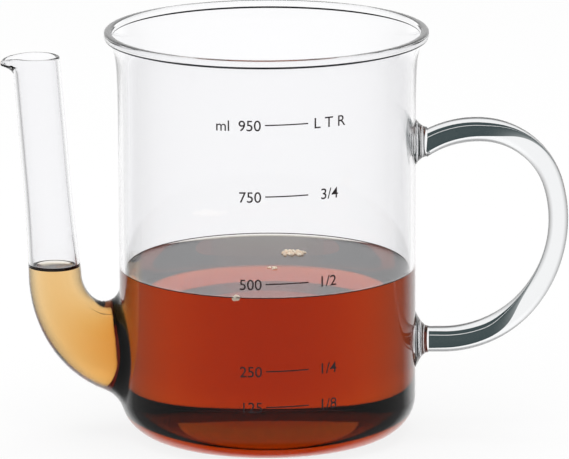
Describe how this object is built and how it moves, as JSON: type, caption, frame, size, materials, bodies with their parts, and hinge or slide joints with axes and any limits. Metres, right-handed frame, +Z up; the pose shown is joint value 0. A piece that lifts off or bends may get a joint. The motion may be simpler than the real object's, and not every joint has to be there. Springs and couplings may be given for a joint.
{
  "type": "fat separator jug",
  "caption": "Clear glass gravy separator jug with a tall side spout rising from near its base, a looped rod handle and a volume scale, shown part filled with gravy.",
  "frame": {"origin": "centre of the flat base, on the table", "axes": "+Z up along the beaker's axis, -X towards the spout, +X towards the handle; the printed scale faces -Y"},
  "size_m": [0.1994, 0.1144, 0.1448],
  "materials": {
    "glass": "clear, fire polished",
    "scale_print": "fired dark enamel print",
    "gravy": "translucent red-brown liquid"
  },
  "bodies": {
    "root": {"jug_body": "glass", "spout_tube": "glass", "handle": "glass", "upper_handle_foot": "glass", "lower_handle_foot": "glass", "scale_lines": "scale_print", "gravy_in_jug": "gravy", "gravy_in_spout": "gravy"}
  },
  "joints": []
}
